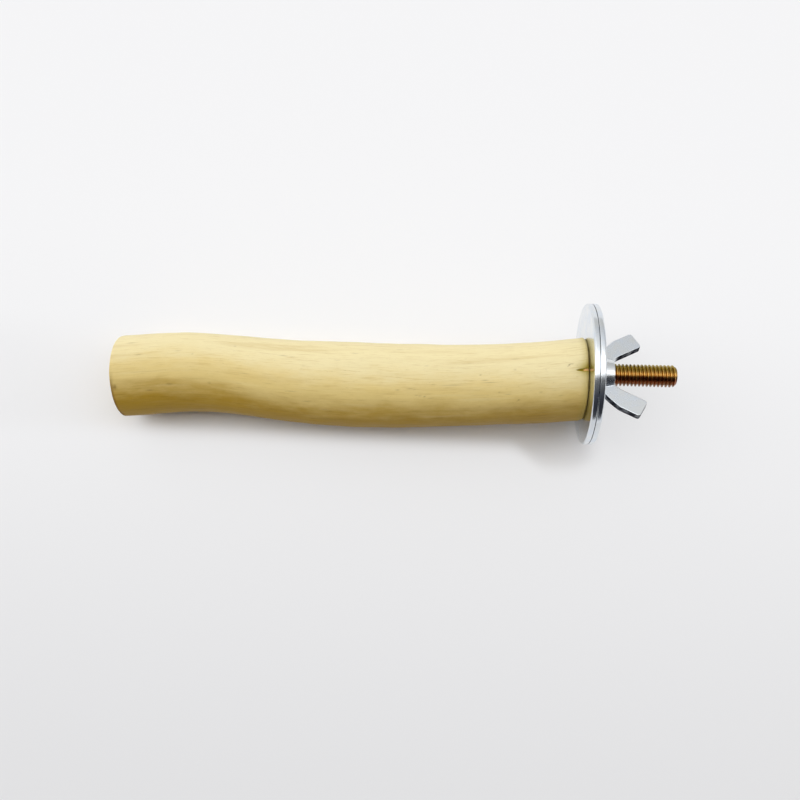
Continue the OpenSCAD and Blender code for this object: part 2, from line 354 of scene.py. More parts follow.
def ring_faces(rings, sides):
    """Quads between neighbouring rings of points, closed round the rings."""
    i, j = np.meshgrid(np.arange(rings - 1), np.arange(sides), indexing="ij")
    nxt = (j + 1) % sides
    quads = np.stack([i * sides + j, (i + 1) * sides + j, (i + 1) * sides + nxt, i * sides + nxt], -1)
    return quads.reshape(-1, 4)


def mesh_object(name, points, faces, materials, smooth=True):
    mesh = bpy.data.meshes.new(name)
    mesh.from_pydata(np.asarray(points).tolist(), [], [list(f) for f in faces])
    mesh.polygons.foreach_set("use_smooth", [smooth] * len(mesh.polygons))
    for material in materials:
        mesh.materials.append(material)
    mesh.update()
    made = bpy.data.objects.new(name, mesh)
    bpy.context.scene.collection.objects.link(made)
    return made


def store(mesh, name, values):
    """Keeps a value or a vector for each point of a mesh, for its material."""
    values = np.asarray(values, np.float32)
    vector = values.ndim == 2
    kept = mesh.attributes.new(name, "FLOAT_VECTOR" if vector else "FLOAT", "POINT")
    kept.data.foreach_set("vector" if vector else "value", values.ravel())


def bore_points(turn):
    """The drilled hole's rings, from its point out to its mouth."""
    mouth_r = BOLT_R + MOUTH_GAP
    outline = [(TIP_X, TIP_R), (TIP_X + POINT_LEN, LAG_ROOT_R), (LAG_X, LAG_ROOT_R), (LAG_X, mouth_r)]
    return [circle_points(x, r, turn) for x, r in outline + [(BRANCH_X, mouth_r)]]


def near_cap_points(mouth, rim):
    """The near end's rings. Only its middle bears on the washer."""
    rings = []
    for share in np.linspace(0, 1, CAP_RINGS // 2)[1:-1]:
        ring = mouth + (rim - mouth) * share
        ring[:, 0] = BRANCH_X - SET_BACK * ease((share - BEARING_SHARE) / (1 - BEARING_SHARE))
        rings.append(ring)
    return rings


def far_cap_points(rim, centre):
    """The far end's rings, with the saw's marks across them."""
    rings = []
    for share in np.linspace(1, 0, CAP_RINGS)[1:-1]:
        ring = centre + (rim - centre) * share
        across = (ring[:, 1] * math.cos(SAW_LEAN) + ring[:, 2] * math.sin(SAW_LEAN)) / SAW_GAP
        waver = SAW_WAVER * rough(ring, (1, 3 * MM, 3 * MM), 47)
        saw = 0.5 + 0.5 * np.sin(2 * math.pi * across + waver)
        fuzz = rough(ring, (1, 0.5 * MM, 0.5 * MM), 53)
        ring[:, 0] += (SAW_DEPTH * saw + FUZZ_DEPTH * fuzz) * MM * min(1, (1 - share) * SAW_START)
        rings.append(ring)
    return rings


def make_branch(side_grain, end_grain):
    points, straight, mark, stain, crack = branch_points()
    turn = np.arctan2(straight[0, :, 2], straight[0, :, 1])
    centre = points[-1].mean(0)
    bore = bore_points(turn)
    near_cap = near_cap_points(bore[-1], points[0])
    far_cap = far_cap_points(points[-1], centre)
    everything = np.concatenate([np.array(bore), np.array(near_cap), points, np.array(far_cap)])
    rings = len(everything)
    first_wall = len(bore) + len(near_cap)
    last_wall = first_wall + len(points) - 1
    faces = ring_faces(rings, SIDES).tolist()
    # A point closes the far end, and another the bottom of the hole
    flat = np.vstack([everything.reshape(-1, 3), centre, [TIP_X, 0, 0]])
    centre_id, tip_id = len(flat) - 2, len(flat) - 1
    base = (rings - 1) * SIDES
    faces += [[base + j, centre_id, base + (j + 1) % SIDES] for j in range(SIDES)]
    faces += [[j, (j + 1) % SIDES, tip_id] for j in range(SIDES)]
    made = mesh_object("branch_wood", flat, faces, [side_grain, end_grain])
    # The walls show side grain; the sawn ends and the hole show end grain
    ring_of = np.repeat(np.arange(rings - 1), SIDES)
    is_end = (ring_of < first_wall + 2) | (ring_of >= last_wall - 3)
    made.data.polygons.foreach_set("material_index", is_end.astype(int).tolist() + [1] * (2 * SIDES))
    for name, values in (("mark", mark), ("stain", stain), ("crack", crack)):
        full = np.zeros((rings, SIDES))
        full[first_wall : last_wall + 1] = values
        store(made.data, name, np.append(full.ravel(), [0.0, 0.0]))
    # The grain runs along the straightened branch, and round the middle of its far end
    grain = everything.copy()
    grain[first_wall : last_wall + 1] = straight
    grain[last_wall + 1 :] = everything[last_wall + 1 :] - centre
    grain[last_wall + 1 :, :, 0] = BRANCH_LEN
    store(made.data, "grain", np.vstack([grain.reshape(-1, 3), [BRANCH_LEN, 0, 0], [0, 0, 0]]))
    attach(made, "root")
    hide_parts("branch")
    return made


# The bolt: both threads are true right-hand helices

THREAD_SIDES = 96
THREAD_STEPS = 20
# Half widths of the machine thread's flat crest and of its flank, and how round its root is
CREST_SHARE = 0.125
FLANK_SHARE = 0.68
ROOT_SHARE = 0.25
# Half width of the wood thread's ridge at its foot, and how much its sharp crest is cut
RIDGE_SHARE = 0.2
RIDGE_CUT = 1.12
# The sheared end face, a little hollow in its middle: depths in millimetres and shares of its radius
END_FACE = [
    (0, 1), (0, 0.985), (0.01, 0.96), (0.03, 0.85), (0.06, 0.6), (0.12, 0.4), (0.15, 0.2), (0.15, 0.02),
]


def helix_surface(x0, x1, pitch, radius_at):
    """A threaded surface from x0 to x1 whose columns lean with the helix, as points and quads.
    radius_at(x, phase) gives the radius; beyond the ends the points lie on the end circles."""
    rows = THREAD_STEPS * (math.ceil((x1 - x0) / pitch) + 2) + 1
    i, k = np.meshgrid(np.arange(rows), np.arange(THREAD_SIDES), indexing="ij")
    x = x0 - pitch + (i / THREAD_STEPS + k / THREAD_SIDES) * pitch
    phase = (i / THREAD_STEPS) % 1
    turn = 2 * math.pi * k / THREAD_SIDES
    x = np.clip(x, x0, x1)
    r = radius_at(x, phase)
    points = np.stack([x, r * np.cos(turn), r * np.sin(turn)], -1).reshape(-1, 3)
    faces = []
    for row in range(rows - 1):
        for side in range(THREAD_SIDES):
            turn_on = side == THREAD_SIDES - 1
            ahead = row + THREAD_STEPS if turn_on else row
            if ahead + 1 >= rows:
                continue
            column = 0 if turn_on else side + 1
            a, b = row * THREAD_SIDES + side, ahead * THREAD_SIDES + column
            faces.append([a, a + THREAD_SIDES, b + THREAD_SIDES, b])
    return points, faces


def machine_radius(x, phase):
    """A metric thread with flat crests and rounded roots, a chamfer at its end and a run-out at its start."""
    across = np.abs(phase - 0.5) * 2
    share = np.clip((across - CREST_SHARE) / FLANK_SHARE, 0, 1)
    r = BOLT_R - THREAD_DEPTH * ((1 - ROOT_SHARE) * share + ROOT_SHARE * ease(share))
    r = SHANK_R + (r - SHANK_R) * ease((x - SHANK_X) / THREAD_PITCH)
    return np.minimum(r, BOLT_R - BOLT_CHAMFER + (BOLT_X - x))


def lag_radius(x, phase):
    """A wood thread: thin sharp ridges on a core that narrows to a point."""
    core = LAG_ROOT_R - (LAG_ROOT_R - TIP_R) * np.maximum(0, 1 - (x - TIP_X) / POINT_LEN)
    ridge = np.clip(1 - np.abs(phase - 0.5) / RIDGE_SHARE, 0, 1)
    fade = ease((x - TIP_X) / LAG_PITCH) * ease((LAG_X - x) / LAG_PITCH)
    r = core + LAG_DEPTH * np.minimum(1, ridge * RIDGE_CUT) * fade
    return np.where(x >= LAG_X, LAG_ROOT_R, np.where(x <= TIP_X, TIP_R, r))


def make_bolt(material):
    lag_points, lag_faces = helix_surface(TIP_X, LAG_X, LAG_PITCH, lag_radius)
    thread_points, thread_faces = helix_surface(SHANK_X, BOLT_X, THREAD_PITCH, machine_radius)
    turn = 2 * math.pi * np.arange(THREAD_SIDES) / THREAD_SIDES
    shank = [(LAG_X, LAG_ROOT_R), (LAG_X, SHANK_R), (SHANK_X, SHANK_R)]
    tip_face_r = BOLT_R - BOLT_CHAMFER
    end = [(BOLT_X - depth * MM, tip_face_r * share) for depth, share in END_FACE]
    start = [(TIP_X, TIP_R * 0.05), (TIP_X, TIP_R)]
    points, faces = [lag_points, thread_points], list(lag_faces)
    faces += [[v + len(lag_points) for v in f] for f in thread_faces]
    offset = len(lag_points) + len(thread_points)
    for outline in (shank, end, start):
        rings = np.concatenate([circle_points(x, r, turn) for x, r in outline])
        faces += (ring_faces(len(outline), THREAD_SIDES)[:, ::-1] + offset).tolist()
        points.append(rings)
        offset += len(rings)
    made = mesh_object("bolt_steel", np.concatenate(points), faces, [material])
    work = bmesh.new()
    work.from_mesh(made.data)
    bmesh.ops.remove_doubles(work, verts=work.verts, dist=0.002 * MM)
    bmesh.ops.dissolve_degenerate(work, edges=work.edges, dist=0.001 * MM)
    bmesh.ops.holes_fill(work, edges=[e for e in work.edges if e.is_boundary], sides=THREAD_SIDES)
    bmesh.ops.recalc_face_normals(work, faces=work.faces)
    # The chamfer meets the end face in a crisp edge
    for edge in work.edges:
        if all(v.co.x > BOLT_X - 0.001 * MM and v.co.yz.length > 0.995 * tip_face_r for v in edge.verts):
            edge.smooth = False
    work.to_mesh(made.data)
    work.free()
    made.data.polygons.foreach_set("use_smooth", [True] * len(made.data.polygons))
    radii = np.array([math.hypot(v.co.y, v.co.z) for v in made.data.vertices])
    store(made.data, "groove", np.clip((BOLT_R - radii) / THREAD_DEPTH, 0, 1))
    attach(made, "root")
    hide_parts("hanger_bolt")
    return made


# Washers: punched from sheet, with one rolled edge, one burred edge and faces that aren't quite flat

WASHER_SIDES = 288
FACE_RINGS = 26
EDGE_RINGS = 6
# Rounding of each washer's two edges: the punch rolls one and leaves the other nearly sharp
INNER_ROUNDS = (0.55 * MM, 0.25 * MM)
OUTER_ROUNDS = (0.25 * MM, 0.5 * MM)
# Shade is painted in the groove where the two rims meet: its darkness, and the groove's depth and reach
WASHER_GROOVE_SHADE = 0.55
GROOVE_DEPTH = 0.08 * MM
GROOVE_REACH = 0.6 * MM
# Bevel of the hole's edges, and how far the faces waver inwards, in cells of this size
HOLE_BEVEL = 0.12 * MM
FACE_WAVER = 0.035 * MM
WAVER_CELL = 9 * MM


def washer_outline(near, far):
    """The washer's section as places along the bolt and radii, from one face round to the hole."""
    face = np.linspace(0, 1, FACE_RINGS)
    corner = [math.radians(90 * k / EDGE_RINGS) for k in range(1, EDGE_RINGS + 1)]
    inner, near_r, far_r = HOLE_R + HOLE_BEVEL, WASHER_R - near, WASHER_R - far
    outline = [(0.0, inner + (near_r - inner) * s) for s in face]
    outline += [(near * (1 - math.cos(a)), near_r + near * math.sin(a)) for a in corner]
    outline += [(WASHER_T - far * (1 - math.sin(a)), far_r + far * math.cos(a)) for a in [0] + corner]
    outline += [(WASHER_T, far_r - (far_r - inner) * s) for s in face[1:]]
    return outline + [(WASHER_T - HOLE_BEVEL, HOLE_R), (HOLE_BEVEL, HOLE_R)]


def make_washer(name, node, x0, rounds, material, seed):
    turn = np.linspace(0, 2 * math.pi, WASHER_SIDES, endpoint=False)
    rings, dark = [], []
    for x, r in washer_outline(*rounds):
        ring = circle_points(x0 + x, r, turn)
        # Shade is painted where the two washers' rims meet
        meeting = r > WASHER_R - GROOVE_REACH and (x > WASHER_T / 2) == (x0 < 0)
        dark.append(WASHER_GROOVE_SHADE * ease((WASHER_R - r) / GROOVE_DEPTH - 0.5) if meeting else 0.0)
        waver = rough(ring + seed, (1, WAVER_CELL, WAVER_CELL), seed) * FACE_WAVER
        ring[:, 0] += waver if x < WASHER_T / 2 else -waver
        rings.append(ring)
    faces = ring_faces(len(rings), WASHER_SIDES).tolist()
    base = (len(rings) - 1) * WASHER_SIDES
    for j in range(WASHER_SIDES):
        after = (j + 1) % WASHER_SIDES
        faces.append([base + j, j, after, base + after])
    made = mesh_object(name, np.concatenate(rings), faces, [material])
    recalc(made)
    store(made.data, "edge", np.repeat(dark, WASHER_SIDES))
    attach(made, node)
    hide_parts(node)
    return made


def recalc(made):
    """Turns all faces outwards."""
    work = bmesh.new()
    work.from_mesh(made.data)
    bmesh.ops.recalc_face_normals(work, faces=work.faces)
    work.to_mesh(made.data)
    work.free()
    made.data.polygons.foreach_set("use_smooth", [True] * len(made.data.polygons))


# Wing nut: the CAD form with its edges worn round and its wings blended into the hub

NUT_VOXEL = 0.08 * MM
# Rounds of smoothing that wear the edges
NUT_ROUNDING = 16
NUT_TURN = -21
# Radius from which the wings thin out, and how much they thin per unit of radius
HUB_R = 4.6 * MM
WING_TAPER = 0.025
WING_HALF = 1.15 * MM
# The punched edges are where the surface faces this much away from the wings' flat, outside the hub
EDGE_LEAN = 0.3
EDGE_SPAN = 0.4
EDGE_START = 0.8 * MM


def shape_wings(mesh):
    """Thins the wings towards their tips, and marks their punched edges, which the material paints dark as a
    painted reflection.
    """
    level = np.array(Matrix.Rotation(math.radians(-NUT_TURN), 3, "X"))
    flat = np.zeros(3 * len(mesh.vertices))
    mesh.vertices.foreach_get("co", flat)
    places = flat.reshape(-1, 3) @ level.T
    mesh.vertices.foreach_get("normal", flat)
    normals = flat.reshape(-1, 3) @ level.T
    beyond = np.maximum(0, np.abs(places[:, 1]) - HUB_R)
    places[:, 2] *= 1 - WING_TAPER * beyond / WING_HALF
    mesh.vertices.foreach_set("co", (places @ level).ravel())
    mesh.update()
    leaning = ease((1 - np.abs(normals[:, 2]) - EDGE_LEAN) / EDGE_SPAN)
    store(mesh, "edge", leaning * ease(beyond / EDGE_START))


def make_nut(material):
    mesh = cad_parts["wing_nut"].data.copy()
    mesh.materials.clear()
    made = bpy.data.objects.new("wing_nut_steel", mesh)
    bpy.context.scene.collection.objects.link(made)
    blocks = made.modifiers.new("blocks", "REMESH")
    blocks.mode = "VOXEL"
    blocks.voxel_size = NUT_VOXEL
    worn = made.modifiers.new("worn", "SMOOTH")
    worn.factor = 0.5
    worn.iterations = NUT_ROUNDING
    graph = bpy.context.evaluated_depsgraph_get()
    final = bpy.data.meshes.new_from_object(made.evaluated_get(graph))
    made.modifiers.clear()
    made.data = final
    final.name = "wing_nut_steel"
    final.materials.clear()
    final.materials.append(material)
    final.polygons.foreach_set("use_smooth", [True] * len(final.polygons))
    shape_wings(final)
    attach(made, "wing_nut")
    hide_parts("wing_nut")
    return made


# Materials

class Graph:
    """The nodes of a material or a world, with short calls to add and join them."""

    def __init__(self, owner):
        owner.use_nodes = True
        self.owner = owner
        self.tree = owner.node_tree

    def set(self, socket, value):
        if isinstance(value, bpy.types.NodeSocket):
            self.tree.links.new(value, socket)
        else:
            socket.default_value = value

    def add(self, kind, inputs, **settings):
        node = self.tree.nodes.new(kind)
        for key, value in settings.items():
            setattr(node, key, value)
        for key, value in inputs.items():
            self.set(node.inputs[key], value)
        return node

    def attribute(self, name, output="Fac"):
        return self.add("ShaderNodeAttribute", {}, attribute_name=name).outputs[output]

    def place(self):
        return self.add("ShaderNodeTexCoord", {}).outputs["Object"]

    def scaled(self, vector, sizes):
        """The vector in cells of these sizes."""
        scale = tuple(1 / s for s in sizes)
        return self.add("ShaderNodeMapping", {"Vector": vector, "Scale": scale}).outputs["Vector"]

    def noise(self, vector, sizes, detail=2.0, rough=0.5):
        inputs = {"Vector": self.scaled(vector, sizes), "Scale": 1.0, "Detail": detail, "Roughness": rough}
        return self.add("ShaderNodeTexNoise", inputs).outputs["Fac"]

    def grain_noise(self, grain, cells, detail, rough=0.5):
        """Noise whose cells have one size along the grain and another across it."""
        length, width = cells
        return self.noise(grain, (length, width, width), detail, rough)

    def span(self, value, low, high, to_low=0.0, to_high=1.0):
        """The value's span from low to high brought to another span, smoothly and clamped."""
        inputs = {"Value": value, "From Min": low, "From Max": high, "To Min": to_low, "To Max": to_high}
        return self.add("ShaderNodeMapRange", inputs, interpolation_type="SMOOTHSTEP").outputs["Result"]

    def math(self, operation, *values):
        node = self.add("ShaderNodeMath", {}, operation=operation)
        for socket, value in zip(node.inputs, values):
            self.set(socket, value)
        return node.outputs["Value"]

    def largest(self, first, *others):
        for other in others:
            first = self.math("MAXIMUM", first, other)
        return first

    def weighed(self, a, weight_a, b, weight_b):
        """Two values added by their weights."""
        return self.math("ADD", self.math("MULTIPLY", a, weight_a), self.math("MULTIPLY", b, weight_b))

    def wavered(self, value, noise, reach):
        """The value shifted by the noise, by up to half the reach either way."""
        return self.math("ADD", value, self.math("MULTIPLY", self.math("SUBTRACT", noise, 0.5), reach))

    def mix(self, factor, a, b):
        """Two colours mixed. The node's inputs 6 and 7 and its output 2 are the ones for colours."""
        node = self.add("ShaderNodeMix", {}, data_type="RGBA", clamp_factor=True)
        self.set(node.inputs["Factor"], factor)
        for socket, value in ((node.inputs[6], a), (node.inputs[7], b)):
            self.set(socket, (*value, 1.0) if isinstance(value, tuple) else value)
        return node.outputs[2]

    def over(self, colour, laid, value, *span):
        """A colour with another laid over it, by a span of the value."""
        return self.mix(self.span(value, *span), colour, laid)

    def axis(self, vector, name):
        return self.add("ShaderNodeSeparateXYZ", {"Vector": vector}).outputs[name]

    def bump(self, height, distance, strength):
        inputs = {"Height": height, "Distance": distance, "Strength": strength}
        return self.add("ShaderNodeBump", inputs).outputs["Normal"]

    def surface(self, colour, roughness, normal, others):
        """Sets these and the other named inputs on the material's own shader, and gives the material."""
        shader = self.tree.nodes["Principled BSDF"]
        values = {"Base Color": colour, "Roughness": roughness, "Normal": normal, **others}
        for name, value in values.items():
            self.set(shader.inputs[name], value)
        return self.owner


def new_graph(name):
    return Graph(bpy.data.materials.new(name))


# Below, a span has a value's low and high ends and what they are brought to: 0 and 1 where it isn't said

# The peeled wood's colours, with those of its painted light and shade among them
PALE_WOOD = (0.85, 0.74, 0.43)
GOLDEN_WOOD = (0.78, 0.60, 0.235)
SHADED_TAN_WOOD = (0.475, 0.285, 0.028)
STREAK_WOOD = (0.52, 0.34, 0.09)
SHADED_STREAK = (0.25, 0.14, 0.014)
FLECK_AND_SHADE_WOOD = (0.17, 0.08, 0.02)
STAIN_WOOD = (0.36, 0.26, 0.012)
WASHER_SHADE_WOOD = (0.50, 0.38, 0.10)
CRACK_SHADE_WOOD = (0.25, 0.18, 0.004)
SPLIT_WOOD = (0.72, 0.42, 0.15)
RIM_SHADE = (0.27, 0.155, 0.004)
# Cells of the wood's patterns, along and across the grain
MOTTLE = (9 * MM, 3.2 * MM)
BANDS = (40 * MM, 2.6 * MM)
STREAKS = (7 * MM, 0.42 * MM)
FIBRES = (2.4 * MM, 0.15 * MM)
PORES = (0.9 * MM, 0.13 * MM)
PATCHES = (9 * MM, 5 * MM)
# How strongly each pattern shows
BANDS_DARK = (0.5, 0.75, 0.0, 0.28)
BANDS_LIGHT = (0.45, 0.25, 0.0, 0.3)
STREAKS_DARK = (0.52, 0.76, 0.0, 0.34)
FIBRES_DARK = (0.5, 0.8, 0.0, 0.22)
PORES_DARK = (0.72, 0.82, 0.0, 0.35)
PATCHES_DARK = (0.56, 0.42, 0.1, 0.75)
FLECKS_AND_SHADE_DARK = 0.75
STAIN_DARK = 0.95
# Places across the branch between which painted light makes the wood pale towards +Y, and painted shade makes
# it tan towards -Y
LIT_SIDE = (-5 * MM, 4.5 * MM)
SHADED_SIDE = (-4.6 * MM, -11.6 * MM)
# What shifts these places: mottling, the far end, the underside, where the painted shade reaches further, and
# for the lit side the near end
MOTTLE_SHIFT = 6 * MM
FAR_SHIFT = (72 * MM, 112 * MM, 0.0, -2.6 * MM)
UNDER_SHADE_SHIFT = (1 * MM, -9 * MM, 0.0, -14 * MM)
NEAR_LIGHT_SHIFT = (28 * MM, 8 * MM, 0.0, 2.6 * MM)
# Distances from the washer between which shade is painted beside the washer and in the seam at its rim, and
# the crack is torn
WASHER_SHADE = (2.6 * MM, 0.2 * MM, 0.0, 0.6)
RIM_NEAR = (0.45 * MM, 0.15 * MM)
TORN_NEAR = (1.9 * MM, 1.2 * MM)
# How deep into the crack shade is painted, and its wide end torn
CRACK_SHADE = (0.05, 0.5)
CRACK_TORN = (0.45, 0.8)
# How much the painted shade on the -Y side holds back the pale bands
SHADE_HOLD = 0.6
# The finish: roughness by the mottling, gloss, and the relief of its fine streaks
WOOD_ROUGH = (0.3, 0.7, 0.42, 0.56)
WOOD_GLOSS = 0.14
STREAK_RELIEF = 0.05 * MM


def paint_light_and_shade(g, grain, mottle):
    """Painted light that makes the wood pale towards +Y, and painted shade that makes it tan towards -Y and
    underneath.
    """
    along = g.axis(grain, "X")
    leaning = g.wavered(g.axis(grain, "Y"), mottle, MOTTLE_SHIFT)
    leaning = g.math("ADD", leaning, g.span(along, *FAR_SHIFT))
    leaning = g.math("ADD", leaning, g.span(g.axis(grain, "Z"), *UNDER_SHADE_SHIFT))
    lit_leaning = g.math("ADD", leaning, g.span(along, *NEAR_LIGHT_SHIFT))
    return g.span(lit_leaning, *LIT_SIDE), g.span(leaning, *SHADED_SIDE)


def over_marks(g, grain, colour):
    """The wood's colour with its flecks and the painted shade on its far rim, its stain, the painted shade in
    the seam at the washer, and its crack with shade painted down in it, laid over it.
    """
    along = g.axis(grain, "X")
    # Flecks, and the shade painted on the far rim, in one colour
    colour = g.mix(g.math("MULTIPLY", g.attribute("mark"), FLECKS_AND_SHADE_DARK), colour, FLECK_AND_SHADE_WOOD)
    colour = g.mix(g.math("MULTIPLY", g.attribute("stain"), STAIN_DARK), colour, STAIN_WOOD)
    # Shade is painted in the seam where the rim meets the washer, stronger in some places than in others
    patches = g.grain_noise(grain, PATCHES, 1.0)
    rim = g.math("MULTIPLY", g.span(along, *RIM_NEAR), g.span(patches, *PATCHES_DARK))
    # Painted shade in the seam at the washer
    colour = g.mix(rim, colour, RIM_SHADE)
    # Shade is painted down in the crack, with fresh torn wood in its wide end
    crack = g.attribute("crack")
    torn = g.math("MULTIPLY", g.span(along, *TORN_NEAR), g.span(crack, *CRACK_TORN))
    return g.over(colour, g.mix(torn, CRACK_SHADE_WOOD, SPLIT_WOOD), crack, *CRACK_SHADE)


def side_grain_material():
    g = new_graph("peeled_wood")
    grain = g.attribute("grain", "Vector")
    mottle = g.grain_noise(grain, MOTTLE, 4.0, 0.6)
    painted_light, painted_shade = paint_light_and_shade(g, grain, mottle)
    # The wood is pale where light is painted, towards +Y, and tan where shade is painted, towards -Y and
    # underneath
    colour = g.mix(painted_shade, g.mix(painted_light, GOLDEN_WOOD, PALE_WOOD), SHADED_TAN_WOOD)
    # Broad bands, streaks and fine fibres run along the branch, darker where shade is painted
    dark = g.mix(painted_shade, STREAK_WOOD, SHADED_STREAK)
    bands = g.grain_noise(grain, BANDS, 3.0)
    streaks = g.grain_noise(grain, STREAKS, 3.0, 0.6)
    fibres = g.grain_noise(grain, FIBRES, 2.0)
    colour = g.over(colour, dark, bands, *BANDS_DARK)
    # The pale bands are held back where shade is painted
    held = g.math("MULTIPLY_ADD", painted_shade, -SHADE_HOLD, 1.0)
    colour = g.mix(g.math("MULTIPLY", g.span(bands, *BANDS_LIGHT), held), colour, PALE_WOOD)
    colour = g.over(colour, dark, streaks, *STREAKS_DARK)
    colour = g.over(colour, dark, fibres, *FIBRES_DARK)
    # Shade is painted on the wood beside the washer, and it has short pores everywhere
    colour = g.over(colour, WASHER_SHADE_WOOD, g.axis(grain, "X"), *WASHER_SHADE)
    colour = g.over(colour, FLECK_AND_SHADE_WOOD, g.grain_noise(grain, PORES, 1.0), *PORES_DARK)
    colour = over_marks(g, grain, colour)
    normal = g.bump(g.weighed(streaks, 0.6, fibres, 0.4), STREAK_RELIEF, 0.6)
    return g.surface(colour, g.span(mottle, *WOOD_ROUGH), normal, {"Specular IOR Level": WOOD_GLOSS})


# The sawn end: the colours of its grain, its fuzz, its middle and the dirt at its rim
EARLY_WOOD = (0.76, 0.60, 0.30)
LATE_WOOD = (0.56, 0.38, 0.16)
SAWN_FUZZ = (0.40, 0.27, 0.12)
PITH = (0.28, 0.16, 0.07)
SAWN_DIRT = (0.42, 0.34, 0.16)
# Its middle's place, its rings' width and how far they bend, and the cells of the bends and the fuzz
PITH_PLACE = (1.3 * MM, -0.8 * MM)
RING_WIDTH = 1.25 * MM
RING_BEND = 2.2 * MM
BEND_CELL = 5 * MM
FUZZ_CELL = 0.25 * MM
# How strongly each shows, by the rings' wave, the fuzz, or the distance from the middle
RINGS_LATE = (-0.2, 1.0, 0.0, 0.5)
FUZZ_DARK = (0.45, 0.75, 0.0, 0.45)
PITH_DARK = (1.1 * MM, 0.5 * MM, 0.0, 0.75)
DIRT_DARK = (8.5 * MM, 12 * MM, 0.0, 0.35)
SAWN_ROUGH = 0.72
SAWN_GLOSS = 0.3
SAWN_RELIEF = 0.12 * MM


def end_grain_material():
    g = new_graph("sawn_wood")
    grain = g.attribute("grain", "Vector")
    y = g.math("SUBTRACT", g.axis(grain, "Y"), PITH_PLACE[0])
    z = g.math("SUBTRACT", g.axis(grain, "Z"), PITH_PLACE[1])
    radius = g.math("SQRT", g.math("ADD", g.math("MULTIPLY", y, y), g.math("MULTIPLY", z, z)))
    warp = g.grain_noise(grain, (1.0, BEND_CELL), 2.0)
    bent = g.math("ADD", radius, g.math("MULTIPLY", warp, RING_BEND))
    rings = g.math("SINE", g.math("MULTIPLY", bent, 2 * math.pi / RING_WIDTH))
    fuzz = g.grain_noise(grain, (1.0, FUZZ_CELL), 3.0, 0.7)
    colour = g.over(EARLY_WOOD, LATE_WOOD, rings, *RINGS_LATE)
    colour = g.over(colour, SAWN_FUZZ, fuzz, *FUZZ_DARK)
    colour = g.over(colour, PITH, radius, *PITH_DARK)
    colour = g.over(colour, SAWN_DIRT, radius, *DIRT_DARK)
    normal = g.bump(fuzz, SAWN_RELIEF, 0.7)
    return g.surface(colour, SAWN_ROUGH, normal, {"Specular IOR Level": SAWN_GLOSS})


ZINC = (0.80, 0.825, 0.835)
# The plating turns cooler in patches, and duller in specks
COOLER = (0.93, 0.97, 1.04)
DULLER = 0.75
CLOUDS = (4 * MM, 4 * MM, 4 * MM)
SPECKS = (0.8 * MM, 0.8 * MM, 0.8 * MM)
CLOUDS_COOL = (0.35, 0.7)
SPECKS_DULL = (0.62, 0.8, 0.0, 0.25)
SCRATCHES_ROUGH = (0.6, 0.8, 0.0, 0.08)
ZINC_RELIEF = 0.006 * MM
# Each piece's roughness in its smoothest and dullest clouds, and the cells of its scratches
INNER_FINISH = (0.13, 0.22, (3 * MM, 0.08 * MM, 3 * MM))
OUTER_FINISH = (0.13, 0.22, (3 * MM, 3 * MM, 0.08 * MM))
NUT_FINISH = (0.2, 0.32, (0.5 * MM, 4 * MM, 4 * MM))
# Marked edges painted dark, a painted reflection on the nut's punched edges and painted shade in the washers'
# groove: their colour, its tint towards the sides, and their patches
EDGE_ZINC = (0.04, 0.04, 0.048)
EDGE_SHEEN = (0.12, 0.12, 0.14)
EDGE_PATCH_CELLS = (2.4 * MM, 1.4 * MM, 1.4 * MM)
EDGE_PATCHES = (0.7, 0.4, 0.75, 1.0)
EDGE_ROUGH = 0.15


def zinc_material(name, low_rough, high_rough, scratch_sizes):
    """Bright zinc plate: a pale metal with cloudy patches and fine scratches; its marked edges are painted
    dark, a painted reflection on the nut and painted shade in the washers' groove.
    """
    g = new_graph(name)
    place = g.place()
    clouds = g.noise(place, CLOUDS, 4.0, 0.65)
    specks = g.noise(place, SPECKS, 2.0)
    scratches = g.noise(place, scratch_sizes, 2.0, 0.6)
    # Patches in the painted dark of the edges
    worn = g.span(g.noise(place, EDGE_PATCH_CELLS, 1.0), *EDGE_PATCHES)
    edge = g.math("MULTIPLY", g.attribute("edge"), worn)
    colour = g.over(ZINC, tuple(c * f for c, f in zip(ZINC, COOLER)), clouds, *CLOUDS_COOL)
    colour = g.over(colour, tuple(DULLER * c for c in ZINC), specks, *SPECKS_DULL)
    # The marked edges are painted dark: painted reflection on the nut, painted shade in the washers' groove
    colour = g.mix(edge, colour, EDGE_ZINC)
    tint = g.mix(edge, (1.0, 1.0, 1.0), EDGE_SHEEN)
    blur = g.span(clouds, 0.3, 0.7, low_rough, high_rough)
    blur = g.math("ADD", blur, g.span(scratches, *SCRATCHES_ROUGH))
    blur = g.math("ADD", blur, g.math("MULTIPLY", edge, EDGE_ROUGH))
    normal = g.bump(g.weighed(scratches, 0.7, specks, 0.5), ZINC_RELIEF, 0.3)
    return g.surface(colour, blur, normal, {"Metallic": 1.0, "Specular Tint": tint})


# Chromate colours, and the shade painted down in the thread
GOLD = (0.62, 0.38, 0.11)
OLIVE = (0.40, 0.29, 0.04)
MAROON = (0.32, 0.08, 0.03)
BROWN = (0.24, 0.13, 0.05)
THREAD_SHADE = (0.14, 0.065, 0.02)
